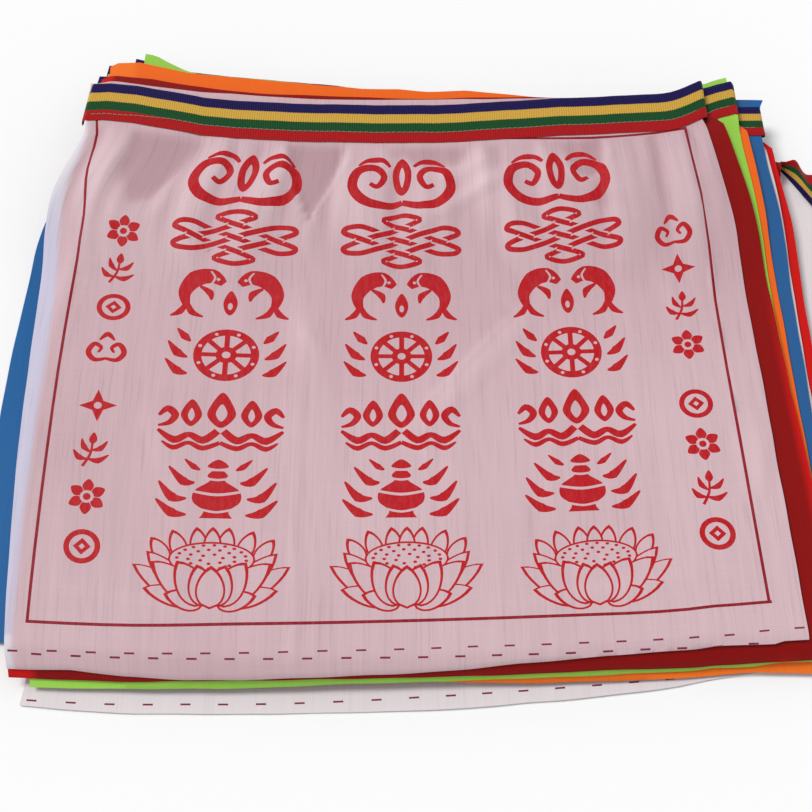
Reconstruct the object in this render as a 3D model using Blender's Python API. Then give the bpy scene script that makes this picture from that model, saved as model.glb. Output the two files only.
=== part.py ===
"""A string of satin prayer flags, folded back and forth on its ribbon into a flat stack.

Eleven separate cloths hang on one woven ribbon. Odd cloths lie with the ribbon above them, even
cloths are turned over and lie on theirs. Units are metres, +Z is up, and the stack lies on Z = 0.
"""

import math
from collections import namedtuple

import bmesh
import bpy
from mathutils import Vector

MM = 0.001

# A layer of cloth or ribbon, and the space between two layers
THICK = 1.0 * MM
GAP = 0.3 * MM
PITCH = THICK + GAP

RIBBON_WIDE = 25 * MM

# The stack is at its full height behind RIBBON_FRONT and comes down to the bare cloths in front
RIBBON_FRONT = 118 * MM
LIFT_RUN = 85 * MM

# Past the edge of a lower cloth, the cloths above it hang down over these distances
EDGE_HOLD = 11 * MM
EDGE_FALL = 20 * MM
HEM_HOLD = 8 * MM
HEM_FALL = 16 * MM

# How far the whole stack bows towards its hem, and how much the ribbon gathers the cloths
RIBBON_BOW = 14 * MM
HEM_BOW = 9.5 * MM
BOW_HALF_WIDE = 160 * MM
HEM_BOW_MIDDLE = -35 * MM
LEFT_BOW = 9 * MM
LEFT_BOW_HEM = -150 * MM
LEFT_BOW_GROWS = 160 * MM
LEFT_BOW_TOP = 123 * MM
LEFT_BOW_ENDS = 43 * MM
RIGHT_RISE = 5 * MM
RIGHT_RISE_X = 140 * MM
RIGHT_RISE_WIDE = 30 * MM
RIGHT_RISE_LONG = 60 * MM
GATHER = 0.05
GATHER_START = 60 * MM
GATHER_FULL = 130 * MM

# Columns and rows that every cloth is cut from, in millimetres: close together where the stack
# bends. The top cloth has more of them, and lies a little clear of the others.
LEFT_COLUMNS = list(range(-210, -120, 10))
WIDE_COLUMNS = [-72, -8, 56, 100, 125, 140, 150, 160, 170, 184, 216]
TOP_COLUMNS = list(range(-116, 120, 16)) + [125, 140, 150, 160, 170, 184, 216]
BACK_ROW = 215
LIFT_ROWS = [126, 115, 106, 96, 82, 67, 50, 33]
FLAT_ROWS = [-40, -122]
TOP_FLAT_ROWS = [14, -8, -40, -64, -90, -122]
HEM_ROWS = list(range(-129, -165, -7))
FRONT_ROW = -180
TOP_SLACK = 0.4 * MM

# The right edges: straight beside the ribbon down to the shoulder, then out to a place below it,
# on to the waist and down to the hem
BELOW_SHOULDER = 9
WAIST_Y = 67
SHAPED_WIDE = 70

# One row for each cloth, from the top of the stack down, in millimetres: how far its ribbon lies
# below its top edge, its corners in plan before the bow and the gather, the shape of its right
# edge, and where the ribbon turns back after it
Flag = namedtuple(
    "Flag",
    "name, colour, inset, top_left_x, top_left_y, top_right_x, top_right_y, shoulder_y, below_x,"
    " waist_x, foot_right_x, foot_right_y, foot_left_x, foot_left_y, fold_x",
)
WHITE = (0.62, 0.50, 0.52)
RED = (0.27, 0.012, 0.010)
GREEN = (0.30, 0.60, 0.09)
ORANGE = (0.85, 0.16, 0.015)
BLUE = (0.035, 0.22, 0.60)
FLAGS = [
    Flag("flag_01_white", WHITE, 2, -170, 154.5, 156.5, 153.5, 126, 158.5, 160, 163, -138.5, -160, -146.5, 158),
    Flag("flag_02_red", RED, 2, -161, 163.5, 156.5, 154, 126, 168.5, 171.5, 178, -144.5, -160, -147.5, -163),
    Flag("flag_03_green", GREEN, 3, -153, 152, 175.5, 155, 115, 177.6, 173.3, 177, -143.5, -152, -149.5, 177),
    Flag("flag_04_orange", ORANGE, 2, -164, 177, 175.5, 154, 115, 183, 177, 178, -150.5, -150, -144, -168),
    Flag("flag_05_blue", BLUE, 5.5, -145, 152, 189.5, 147, 115, 191, 185, 180.5, -129, -148, -128, 191.2),
    Flag("flag_06_white", WHITE, 2, -140, 150, 189.5, 146, 115, 193.5, 187, 183, -126, -146, -128, -144),
    Flag("flag_07_red", RED, 2, -138, 150, 186.5, 146, 115, 198.3, 191.5, 188, -128, -146, -128, 188),
    Flag("flag_08_green", GREEN, 2, -152, 191, 178, 145, 115, 178, 180, 184, -128, -150, -126, -154),
    Flag("flag_09_orange", ORANGE, 2, -150, 150, 172, 148, 115, 173, 174, 178, -128, -148, -127, 173.5),
    Flag("flag_10_blue", BLUE, 2, -172, 150, 158, 146, 115, 156, 152, 146, -128, -181, -137, -173.5),
    Flag("flag_11_white", WHITE, 2, -125, 150, 198, 129, 115, 204, 206, 176, -150, -156, -158, 197),
]

# The ribbon's start curls down past the top cloth, and its free end turns over once
CURL_RADIUS = 3 * MM
CURL_TURN = math.radians(110)
RUN_STEP = 30 * MM
FOLD_STEPS = 5
RIBBON_COLOUR = (0.03, 0.015, 0.10)

# The free end: the length and lean of its turn, how much narrower it is pinched there, and the
# flat piece up to where it is cut off
TWIST_LONG = 20 * MM
TWIST_PINCH = 0.62
TWIST_STEPS = 16
TWIST_LEAN = -13 * MM
TAIL_LONG = 50 * MM
TAIL_DROP = -16 * MM
TAIL_STEPS = 4


def smooth(t):
    t = min(max(t, 0.0), 1.0)
    return t * t * (3 - 2 * t)


def between(a, b, t):
    return a + (b - a) * t


def top_line(flag, x):
    """The cloth's top edge at x."""
    t = (x / MM - flag.top_left_x) / (flag.top_right_x - flag.top_left_x)
    return between(flag.top_left_y, flag.top_right_y, t) * MM


def foot_line(flag, x):
    """The cloth's hem at x."""
    t = (x / MM - flag.foot_left_x) / (flag.foot_right_x - flag.foot_left_x)
    return between(flag.foot_left_y, flag.foot_right_y, t) * MM


def left_line(flag, y):
    """The cloth's left edge at y."""
    t = (flag.top_left_y - y / MM) / (flag.top_left_y - flag.foot_left_y)
    return between(flag.top_left_x, flag.foot_left_x, t) * MM


def straight_right(flag, y):
    """The line between the cloth's right corners at y."""
    t = (flag.top_right_y - y / MM) / (flag.top_right_y - flag.foot_right_y)
    return between(flag.top_right_x, flag.foot_right_x, t) * MM


def right_line(flag, y):
    """The cloth's right edge at y."""
    places = [
        (flag.shoulder_y, flag.top_right_x),
        (flag.shoulder_y - BELOW_SHOULDER, flag.below_x),
        (WAIST_Y, flag.waist_x),
        (flag.foot_right_y, flag.foot_right_x),
    ]
    y /= MM
    if y >= flag.shoulder_y:
        return flag.top_right_x * MM
    for (high_y, high_x), (low_y, low_x) in zip(places, places[1:]):
        if y >= low_y:
            return between(high_x, low_x, (high_y - y) / (high_y - low_y)) * MM
    return flag.foot_right_x * MM


def shaped(flag, x, y):
    """The place in plan of a point of the straight-sided cloth, drawn to its shaped right edge."""
    straight = straight_right(flag, y)
    share = smooth((x - straight) / (SHAPED_WIDE * MM) + 1)
    return x + share * (right_line(flag, y) - straight)


def lift(y):
    """1 where all the ribbons lie, falling to 0 in front of them."""
    return smooth((y - RIBBON_FRONT + LIFT_RUN) / LIFT_RUN)


def cover(flag, x, y):
    """How much of this cloth's thickness the cloths above it feel at a place."""
    past_left = left_line(flag, y) - x
    past_foot = foot_line(flag, x) - y
    held = 1 - smooth((past_left - EDGE_HOLD) / EDGE_FALL)
    held *= 1 - smooth((past_foot - HEM_HOLD) / HEM_FALL)
    return max(held, lift(y))


def ribbons_under(index):
    """How many runs of ribbon lie under the cloth of this index, counted from the top."""
    return len(FLAGS) - 1 - index + (index % 2)


def cloth_height(index, x, y):
    """The underside of a cloth, which rests on everything below it."""
    cloths = sum(cover(flag, x, y) for flag in FLAGS[index + 1 :])
    return PITCH * (cloths + ribbons_under(index) * lift(y))


def ribbon_height(index):
    """The middle of a ribbon run. An even index is face up, with its ribbon over the cloth."""
    cloths_under = len(FLAGS) - 1 - index + (1 if index % 2 == 0 else 0)
    runs_under = len(FLAGS) - 1 - index
    return PITCH * (cloths_under + runs_under) + THICK / 2


def placed(x, y, z):
    """A point of the flat layout, moved by the bow and the gather that all layers share."""
    front = FRONT_ROW * MM
    top = smooth((y - front) / (RIBBON_FRONT - front))
    ribbon_curve = max(0.0, 1 - (x / BOW_HALF_WIDE) ** 2)
    hem_curve = max(0.0, 1 - ((x - HEM_BOW_MIDDLE) / BOW_HALF_WIDE) ** 2)
    narrow = 1 - GATHER * smooth((y - GATHER_START) / (GATHER_FULL - GATHER_START))
    moved = y - RIBBON_BOW * ribbon_curve * top**2 - HEM_BOW * hem_curve * (1 - top) ** 2
    grown = math.sqrt(smooth((y - LEFT_BOW_HEM) / LEFT_BOW_GROWS))
    outward = LEFT_BOW * smooth(-x / BOW_HALF_WIDE) * grown * smooth((LEFT_BOW_TOP - y) / LEFT_BOW_ENDS)
    back = smooth((y - GATHER_START) / RIGHT_RISE_LONG)
    moved += RIGHT_RISE * smooth((x - RIGHT_RISE_X) / RIGHT_RISE_WIDE) * back
    return Vector((x * narrow - outward, moved, z))


def bump(x, y, middle_x, middle_y, wide, long, lean=0.0):
    """A soft rise or dent in the top cloth: 1 in the middle and 0 outside."""
    across = (x - middle_x - lean * (y - middle_y)) / wide
    along = (y - middle_y) / long
    return smooth(1 - math.sqrt(across**2 + along**2))


# The top cloth's gathers: middle x and y, half width and half length, lean and height
Gather = namedtuple("Gather", "x, y, wide, long, lean, high")
GATHERS = [
    Gather(-150, 98, 13, 52, -0.20, 2.6),
    Gather(-99, 96, 17, 58, 0.10, 3.0),
    Gather(-70, 90, 14, 50, 0.25, 2.8),
    Gather(-24, 94, 17, 58, -0.15, 3.0),
    Gather(8, 84, 12, 40, 0.20, 1.6),
    Gather(46, 92, 18, 66, -0.40, 3.0),
    Gather(78, 84, 16, 54, -0.20, 2.0),
    Gather(110, 90, 17, 56, 0.10, 2.4),
    Gather(140, 84, 15, 60, 0.05, 2.6),
    Gather(32, -4, 14, 62, 0.80, 1.4),
    Gather(-45, 14, 14, 44, -0.20, 1.2),
    Gather(156, -60, 14, 40, -0.15, 1.6),
]


def top_cloth_rise(x, y):
    """How far the top cloth stands off the one below it."""
    rise = sum(
        g.high * bump(x / MM, y / MM, g.x, g.y, g.wide, g.long, g.lean) for g in GATHERS
    )
    return MM * rise * smooth((RIBBON_FRONT - y) / (12 * MM)) + TOP_SLACK


def material(name, colour, roughness):
    made = bpy.data.materials.new(name)
    made.use_nodes = True
    shader = made.node_tree.nodes["Principled BSDF"]
    shader.inputs["Base Color"].default_value = (*colour, 1)
    shader.inputs["Roughness"].default_value = roughness
    shader.inputs["Metallic"].default_value = 0
    return made


def add_object(name, bm, finish):
    mesh = bpy.data.meshes.new(name)
    bm.to_mesh(mesh)
    bm.free()
    mesh.shade_smooth()
    mesh.set_sharp_from_angle(angle=math.radians(40))
    mesh.materials.append(finish)
    made = bpy.data.objects.new(name, mesh)
    bpy.context.scene.collection.objects.link(made)
    return made


def layout_grid(index):
    """All the columns and rows as triangles, raised to a cloth's height."""
    top = index == 0
    columns = LEFT_COLUMNS + (TOP_COLUMNS if top else WIDE_COLUMNS)
    flat_rows = TOP_FLAT_ROWS if top else FLAT_ROWS
    rows = [BACK_ROW] + LIFT_ROWS + flat_rows + HEM_ROWS + [FRONT_ROW]
    bm = bmesh.new()
    points = []
    for y in (row * MM for row in rows):
        points.append([])
        for x in (column * MM for column in columns):
            z = cloth_height(index, x, y) + (top_cloth_rise(x, y) if top else 0)
            points[-1].append(bm.verts.new((x, y, z)))
    for back, front in zip(points, points[1:]):
        for i in range(len(columns) - 1):
            bm.faces.new((back[i], front[i], front[i + 1]))
            bm.faces.new((back[i], front[i + 1], back[i + 1]))
    return bm


def cut_to(bm, flag):
    """Upright cuts along the cloth's four edges. What lies outside them is dropped."""
    corners = [
        Vector((flag.top_left_x, flag.top_left_y, 0)) * MM,
        Vector((flag.foot_left_x, flag.foot_left_y, 0)) * MM,
        Vector((flag.foot_right_x, flag.foot_right_y, 0)) * MM,
        Vector((flag.top_right_x, flag.top_right_y, 0)) * MM,
    ]
    for start, end in zip(corners, corners[1:] + corners[:1]):
        outward = (end - start).cross(Vector((0, 0, 1)))
        bmesh.ops.bisect_plane(
            bm,
            geom=bm.verts[:] + bm.edges[:] + bm.faces[:],
            plane_co=start,
            plane_no=outward,
            clear_outer=True,
            dist=1e-7,
        )


def thicken(bm):
    """The sheet gets an upper side THICK above it, and walls round its rim."""
    lower = bm.faces[:]
    rim = [edge for edge in bm.edges if edge.is_boundary]
    above = {v: bm.verts.new(v.co + Vector((0, 0, THICK))) for v in bm.verts[:]}
    for edge in rim:
        start, end = (loop.vert for loop in (edge.link_loops[0], edge.link_loops[0].link_loop_next))
        bm.faces.new((start, end, above[end], above[start]))
    for face in lower:
        bm.faces.new([above[v] for v in face.verts])
        face.normal_flip()


def make_cloth(index, flag):
    bm = layout_grid(index)
    cut_to(bm, flag)
    thicken(bm)
    for v in bm.verts:
        v.co = placed(shaped(flag, v.co.x, v.co.y), v.co.y, v.co.z)
    return add_object(flag.name, bm, material(flag.name, flag.colour, 0.45))


def band_middle(flag, x):
    return top_line(flag, x) - flag.inset * MM - RIBBON_WIDE / 2


def ribbon_stations():
    """The ribbon's middle line with its normal and its crosswise direction, from start to free end."""
    across = Vector((0, 1, 0))
    stations = []
    first = FLAGS[0]
    start_x = first.top_left_x * MM - 0.5 * MM
    start_z = ribbon_height(0) + TOP_SLACK
    for step in range(FOLD_STEPS, 0, -1):
        turn = CURL_TURN * step / FOLD_STEPS
        x = start_x - CURL_RADIUS * math.sin(turn)
        z = start_z - CURL_RADIUS * (1 - math.cos(turn))
        normal = Vector((-math.sin(turn), 0, math.cos(turn)))
        stations.append((Vector((x, band_middle(first, start_x), z)), normal, across))
    here = start_x
    for index, flag in enumerate(FLAGS):
        last = index == len(FLAGS) - 1
        end = flag.fold_x * MM
        z = ribbon_height(index) + (TOP_SLACK if index == 0 else 0)
        up = 1 if index % 2 == 0 else -1
        steps = max(2, round(abs(end - here) / RUN_STEP))
        for step in range(steps + 1):
            x = between(here, end, step / steps)
            stations.append((Vector((x, band_middle(flag, x), z)), Vector((0, 0, up)), across))
        if last:
            break
        below = ribbon_height(index + 1)
        radius = (z - below) / 2
        side = 1 if index % 2 == 0 else -1
        for step in range(1, FOLD_STEPS):
            turn = math.pi * step / FOLD_STEPS
            x = end + side * radius * math.sin(turn)
            y = between(band_middle(flag, end), band_middle(FLAGS[index + 1], end), step / FOLD_STEPS)
            outward = Vector((side * math.sin(turn), 0, math.cos(turn)))
            centre = Vector((x, y, (z + below) / 2 + radius * math.cos(turn)))
            stations.append((centre, outward * side, across))
        here = end
    return stations + free_end(stations[-1][0])


def free_end(start):
    """Past the last cloth the ribbon is pinched, turns over once and lies down on the surface."""
    stations = []
    for step in range(1, TWIST_STEPS + 1):
        t = step / TWIST_STEPS
        turn = math.pi * smooth(math.sqrt(t))
        wide = 1 - TWIST_PINCH * math.sin(turn)
        z = between(start.z, THICK / 2, smooth(2 * t - 1)) + RIBBON_WIDE / 2 * wide * math.sin(turn)
        centre = Vector((start.x + TWIST_LONG * t, start.y + TWIST_LEAN * smooth(t), z))
        normal = Vector((0, math.sin(turn), math.cos(turn)))
        across = wide * Vector((0, math.cos(turn), -math.sin(turn)))
        stations.append((centre, normal, across))
    settled = stations[-1][0]
    for step in range(1, TAIL_STEPS + 1):
        t = step / TAIL_STEPS
        centre = settled + Vector((TAIL_LONG * t, TAIL_DROP * t * t, 0))
        stations.append((centre, Vector((0, 0, -1)), Vector((0, -1, 0))))
    return stations


def make_ribbon():
    bm = bmesh.new()
    rings = []
    for centre, normal, across in ribbon_stations():
        side = across * RIBBON_WIDE / 2
        face = normal * THICK / 2
        corners = (centre - side - face, centre + side - face, centre + side + face, centre - side + face)
        rings.append([bm.verts.new(placed(*corner)) for corner in corners])
    for ring, after in zip(rings, rings[1:]):
        for i in range(4):
            j = (i + 1) % 4
            bm.faces.new((ring[i], ring[j], after[j], after[i]))
    bm.faces.new(rings[0][::-1])
    bm.faces.new(rings[-1])
    bmesh.ops.recalc_face_normals(bm, faces=bm.faces[:])
    return add_object("ribbon", bm, material("ribbon", RIBBON_COLOUR, 0.7))


def main():
    for old in list(bpy.data.objects):
        bpy.data.objects.remove(old)
    for index, flag in enumerate(FLAGS):
        make_cloth(index, flag)
    make_ribbon()


main()
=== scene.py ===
"""The looks of a folded string of prayer flags: satin cloths, their woven ribbon, sewing and print."""

import math
from collections import namedtuple

import bpy
import numpy as np
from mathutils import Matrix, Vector
from mathutils.geometry import delaunay_2d_cdt


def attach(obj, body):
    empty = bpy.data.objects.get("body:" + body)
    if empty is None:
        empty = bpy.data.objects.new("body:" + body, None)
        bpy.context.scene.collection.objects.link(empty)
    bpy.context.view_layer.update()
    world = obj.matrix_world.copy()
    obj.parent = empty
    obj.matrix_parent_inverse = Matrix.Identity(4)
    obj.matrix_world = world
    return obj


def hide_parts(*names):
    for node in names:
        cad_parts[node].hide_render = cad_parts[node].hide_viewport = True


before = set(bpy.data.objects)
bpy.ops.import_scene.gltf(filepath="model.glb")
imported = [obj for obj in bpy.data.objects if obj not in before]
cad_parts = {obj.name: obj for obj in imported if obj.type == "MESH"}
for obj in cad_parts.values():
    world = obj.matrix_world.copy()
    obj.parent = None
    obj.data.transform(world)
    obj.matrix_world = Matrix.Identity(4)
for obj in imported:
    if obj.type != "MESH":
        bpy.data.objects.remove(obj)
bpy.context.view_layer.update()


# The cloths. Eleven landscape pieces of thin satin, cut with a hot blade, so their edges are raw.
# They lie folded back and forth on each other, odd ones face up and even ones face down, and each
# one sinks over the edges of those below it. All lengths here are millimetres until `placed`.
MM = 0.001
LAYER = 1.0
PITCH = 1.3
RIBBON_FRONT = 118
LIFT_RUN = 85
EDGE_HOLD = 11
EDGE_FALL = 20
HEM_HOLD = 8
HEM_FALL = 16
FRONT_ROW = -180
RIBBON_BOW = 14
HEM_BOW = 9.5
BOW_HALF_WIDE = 160
HEM_BOW_MIDDLE = -35
LEFT_BOW = 9
LEFT_BOW_HEM = -150
LEFT_BOW_GROWS = 160
LEFT_BOW_TOP = 123
LEFT_BOW_ENDS = 43
RIGHT_RISE = 5
RIGHT_RISE_X = 140
RIGHT_RISE_WIDE = 30
RIGHT_RISE_LONG = 60
GATHER = 0.05
GATHER_START = 60
GATHER_FULL = 130
TOP_SLACK = 0.4
RIBBON_WIDE = 25

SATIN_THICK = 0.3
SEWN_REACH = 0.8
SEWN_FADE = 7
EDGE_WAVE = 0.4
EDGE_WAVE_DEEP = 22
CLOTH_SPAN = 320
LIE_WAVE = 0.22
TOP_STEP = 2.0
LOWER_STEP = 4.0

# The right edges: straight beside the ribbon down to the shoulder, then out to a place below it,
# on to the waist and down to the hem
BELOW_SHOULDER = 4
WAIST_Y = 67
SHAPED_WIDE = 70
SOFT_EDGE = 2.5

# One row for each cloth, from the top of the stack down: how far its ribbon lies below its top
# edge, its corners in plan before the bow and the gather, the shape of its right edge, and where
# the ribbon turns back after it
Flag = namedtuple(
    "Flag",
    "node, inset, top_left_x, top_left_y, top_right_x, top_right_y, shoulder_y, below_x,"
    " waist_x, foot_right_x, foot_right_y, foot_left_x, foot_left_y, fold_x",
)
FLAGS = [
    Flag("flag_01_white", 2, -170, 154.5, 156.5, 153.5, 126, 158.5, 160, 163, -138.5, -160, -146.5, 158),
    Flag("flag_02_red", 2, -166, 163.5, 156.5, 154, 131, 168.5, 171.5, 178, -144.5, -160, -147.5, -167.5),
    Flag("flag_03_green", 3, -153, 152, 175.5, 155, 140, 178.5, 173.3, 177, -143.5, -152, -149.5, 177),
    Flag("flag_04_orange", 2, -164, 177, 175.5, 154, 129.5, 183, 177, 178, -150.5, -150, -144, -165),
    Flag("flag_05_blue", 5.5, -145, 152, 196, 147, 147, 192.8, 185.4, 180.5, -129, -148, -128, 191.2),
    Flag("flag_06_white", 2, -140, 150, 189.5, 146, 122, 191.9, 186.6, 183, -126, -146, -128, -144),
    Flag("flag_07_red", 2, -138, 150, 189.5, 146, 124.5, 197.4, 191.5, 188, -128, -146, -128, 188),
    Flag("flag_08_green", -1, -149, 184, 178, 145, 115, 178, 180, 184, -128, -150, -126, -154),
    Flag("flag_09_orange", 2, -150, 150, 172, 148, 115, 173, 174, 178, -128, -148, -127, 173.5),
    Flag("flag_10_blue", 2, -172, 150, 158, 146, 115, 156, 152, 146, -125, -181, -133.5, -173.5),
    Flag("flag_11_white", 2, -125, 150, 198, 129, 115, 213, 214, 176, -150, -156, -158, 197),
]


# How the edges stray from straight lines: the top edge with its ribbon, the top edge alone, and
# the hem. Each has places along the edge and how far it lies further back there.
Stray = namedtuple("Stray", "x, back")
STRAIGHT = Stray((0,), (0,))
LINE_STRAYS = {
    "flag_03_green": Stray((150, 163, 177), (0, -1.5, 3)),
    "flag_08_green": Stray(
        (-150, -123, -99, -79, -60, -38, -7, 35, 75, 150), (6, 4.3, 7.1, 9.2, 11, 12, 9.9, 8, 4, 0)
    ),
}
HEAD_STRAYS = {
    "flag_01_white": Stray(
        (-167, -157, -130, -110, -94, -57, -19, 32, 60, 78, 100, 140, 156),
        (-1.7, 0.3, 0.2, 0.2, 0.9, 0.8, 1.6, 1.6, 0.6, -0.4, -2.8, -4.4, -2.6),
    ),
    "flag_02_red": Stray(
        (-168, -161, -138, -120, -103, -79, -57, -19, 13, 32, 68, 82, 100, 140, 156),
        (-6, -1.3, 0.5, -0.5, -1, -1, 0.3, 0.8, 0.9, 2, 1.8, 0.6, -2.6, -4.6, -2.6),
    ),
    "flag_04_orange": Stray(
        (-164, -160, -148, -134, -121, -97, -78, -58, -37, -24, -4, 11, 33, 51, 69, 80, 100),
        (-3.5, -0.7, 2.5, 2, 0.8, 2.2, 3.3, 4, 4.3, 3.9, 5.4, 4.6, 6.3, 4.3, 2, 1, 0),
    ),
    "flag_08_green": Stray((-148, -143, -136, -127, -118), (5.5, 6.3, 3.9, 1.7, 0)),
}
FOOT_STRAYS = {
    "flag_01_white": Stray(
        (-160, -134, -113, -89, -58, -33, -14, 25, 46, 81, 117, 150, 152, 165),
        (1, 1.3, -0.5, -1.3, -1.2, -0.9, -0.5, -0.4, 0.1, 0, -1.7, -1.1, -0.2, 0),
    ),
    "flag_02_red": Stray(
        (-159, -150, -126, -103, -92, -33, 7, 25, 46, 70, 92, 118, 134, 164),
        (-1.1, -0.9, -0.3, 0.3, 0.9, 2.3, 1.7, 1.5, 1, 0.3, -0.5, -2, -1.7, -0.4),
    ),
    "flag_03_green": Stray(
        (-148, -130, -103, -85, -41, -19, 7, 25, 46, 62, 92, 118, 140, 152),
        (-1.2, -0.6, 0, 0.6, 1.1, 1.4, 1.1, 0.7, 0.1, -0.3, -1.2, -3, -2.6, -1.2),
    ),
    "flag_04_orange": Stray(
        (-40, -15, 10, 34, 46, 62, 82, 110, 125, 141, 165),
        (0.6, 1.6, 2, 1.7, 1.3, 1.1, 0.5, -0.2, -0.3, 1.1, 0.8),
    ),
    "flag_11_white": Stray(
        (-150, -114, -67, -44, -6, 25, 47, 62, 88, 110, 126, 150),
        (0.3, -0.6, -0.5, -0.4, -1.1, -1.2, -0.7, -1.1, -0.7, -0.5, 0.6, 3),
    ),
}


def smooth(t):
    t = np.clip(t, 0.0, 1.0)
    return t * t * (3 - 2 * t)


def between(a, b, t):
    return a + (b - a) * t


def wander(t, seed):
    """An uneven wave along a length in millimetres, between about -1 and 1."""
    waves = ((0.029, 1.7, 0.55), (0.083, 2.9, 0.3), (0.21, 4.1, 0.15))
    return sum(high * np.sin(pace * t + turn * (seed + 1)) for pace, turn, high in waves)


def dye(flag):
    return flag.node.split("_")[-1]


def stray(table, flag, x):
    return np.interp(x, *table.get(flag.node, STRAIGHT))


def top_line(flag, x):
    share = (x - flag.top_left_x) / (flag.top_right_x - flag.top_left_x)
    return between(flag.top_left_y, flag.top_right_y, share) + stray(LINE_STRAYS, flag, x)


def foot_line(flag, x):
    share = (x - flag.foot_left_x) / (flag.foot_right_x - flag.foot_left_x)
    return between(flag.foot_left_y, flag.foot_right_y, share) + stray(FOOT_STRAYS, flag, x)


def left_line(flag, y):
    share = (flag.top_left_y - y) / (flag.top_left_y - flag.foot_left_y)
    return between(flag.top_left_x, flag.foot_left_x, share)


def straight_right(flag, y):
    """The line between the right corners, before the edge is drawn to its shape."""
    share = (flag.top_right_y - y) / (flag.top_right_y - flag.foot_right_y)
    return between(flag.top_right_x, flag.foot_right_x, share)


def right_line(flag, y):
    heights = (flag.foot_right_y, WAIST_Y, flag.shoulder_y - BELOW_SHOULDER, flag.shoulder_y)
    places = (flag.foot_right_x, flag.waist_x, flag.below_x, flag.top_right_x)
    return sum(np.interp(y + step, heights, places) for step in (-SOFT_EDGE, 0, SOFT_EDGE)) / 3


def shaped(flag, x, y):
    """The place of a point of the straight-sided cloth, drawn to its shaped right edge."""
    straight = straight_right(flag, y)
    return x + smooth((x - straight) / SHAPED_WIDE + 1) * (right_line(flag, y) - straight)


def lift(y):
    """1 where all the ribbons lie, falling to 0 in front of them."""
    return smooth((y - RIBBON_FRONT + LIFT_RUN) / LIFT_RUN)


def cover(flag, x, y):
    """How much of this cloth's layer the cloths above it feel at a place."""
    held = 1 - smooth((left_line(flag, y) - x - EDGE_HOLD) / EDGE_FALL)
    held = held * (1 - smooth((foot_line(flag, x) - y - HEM_HOLD) / HEM_FALL))
    return np.maximum(held, lift(y))


def cloth_height(index, x, y):
    """The middle of a cloth's layer, over everything that it lies on."""
    cloths = sum((cover(flag, x, y) for flag in FLAGS[index + 1 :]), 0 * x)
    ribbons = len(FLAGS) - 1 - index + index % 2
    return PITCH * (cloths + ribbons * lift(y)) + LAYER / 2


def placed(x, y, z):
    """Points of the flat layout, moved by the bow and the gather of the stack, in metres."""
    top = smooth((y - FRONT_ROW) / (RIBBON_FRONT - FRONT_ROW))
    ribbon_curve = np.maximum(0, 1 - (x / BOW_HALF_WIDE) ** 2)
    hem_curve = np.maximum(0, 1 - ((x - HEM_BOW_MIDDLE) / BOW_HALF_WIDE) ** 2)
    narrow = 1 - GATHER * smooth((y - GATHER_START) / (GATHER_FULL - GATHER_START))
    moved = y - RIBBON_BOW * ribbon_curve * top**2 - HEM_BOW * hem_curve * (1 - top) ** 2
    grown = np.sqrt(smooth((y - LEFT_BOW_HEM) / LEFT_BOW_GROWS))
    outward = LEFT_BOW * smooth(-x / BOW_HALF_WIDE) * grown * smooth((LEFT_BOW_TOP - y) / LEFT_BOW_ENDS)
    back = smooth((y - GATHER_START) / RIGHT_RISE_LONG)
    moved = moved + RIGHT_RISE * smooth((x - RIGHT_RISE_X) / RIGHT_RISE_WIDE) * back
    return np.stack([x * narrow - outward, moved, z], axis=-1) * MM


# The top cloth's gathers below the ribbon, as in the solid: rises with a middle, half sizes, a
# lean and a height
Gather = namedtuple("Gather", "x, y, wide, long, lean, high")
GATHERS = [
    Gather(-150, 98, 13, 52, -0.20, 2.6),
    Gather(-99, 96, 17, 58, 0.10, 3.0),
    Gather(-70, 90, 14, 50, 0.25, 2.8),
    Gather(-24, 94, 17, 58, -0.15, 3.0),
    Gather(8, 84, 12, 40, 0.20, 1.6),
    Gather(46, 92, 18, 66, -0.40, 3.0),
    Gather(78, 84, 16, 54, -0.20, 2.0),
    Gather(110, 90, 17, 56, 0.10, 2.4),
    Gather(140, 84, 15, 60, 0.05, 2.6),
    Gather(32, -4, 14, 62, 0.80, 1.4),
    Gather(-45, 14, 14, 44, -0.20, 1.2),
    Gather(156, -60, 14, 40, -0.15, 1.6),
]

# Dents that the gathered cloth falls into under the ribbon: a middle, half sizes, how pointed
# the lower end is (0 round, 1 a point) and a depth
Dent = namedtuple("Dent", "x, y, wide, long, pointed, deep")
DENTS = [
    Dent(-126, 121, 19, 40, 0.0, 3.0),
    Dent(-46, 124, 17, 46, 1.0, 3.0),
    Dent(16, 126, 24, 18, 0.0, 1.8),
    Dent(92, 124, 13, 24, 0.6, 1.4),
]
DENT_WALL = 0.42
DENT_POINT_WIDE = 0.9
DENT_RIM = 0.5
DENT_RIM_OUT = 1.12
DENT_RIM_WIDE = 0.16
DENT_RIM_START = 14

# Creases: soft ridges and troughs from one place to another, with a half width and a height
Crease = namedtuple("Crease", "x, y, end_x, end_y, wide, high")
CREASES = [
    Crease(12, 84, 58, 111, 7, 1.1),
    Crease(49, 27, 11, -21, 2.6, 0.45),
    Crease(45, 33, 52, 20, 5, -0.35),
    Crease(-48, 24, -38, 1, 6, 0.7),
    Crease(161, -50, 157, -80, 6, -0.9),
    Crease(-104, 100, -98, 52, 6, 0.6),
    Crease(-150, 60, -156, 10, 7, 0.7),
    Crease(70, 101, 112, 84, 8, -0.8),
    Crease(118, 60, 127, 20, 7, 0.5),
    Crease(-20, -30, 30, -62, 5, 0.35),
    Crease(84, -8, 70, -48, 6, -0.4),
    Crease(-112, -20, -96, -66, 7, 0.35),
    Crease(-140, -112, -60, -121, 5, 0.3),
    Crease(40, -118, 120, -110, 6, 0.35),
]
CREASE_ENDS = 0.35
PLEAT_HIGH = 0.42
PLEAT_START = 40
PLEAT_FULL = 112
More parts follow.
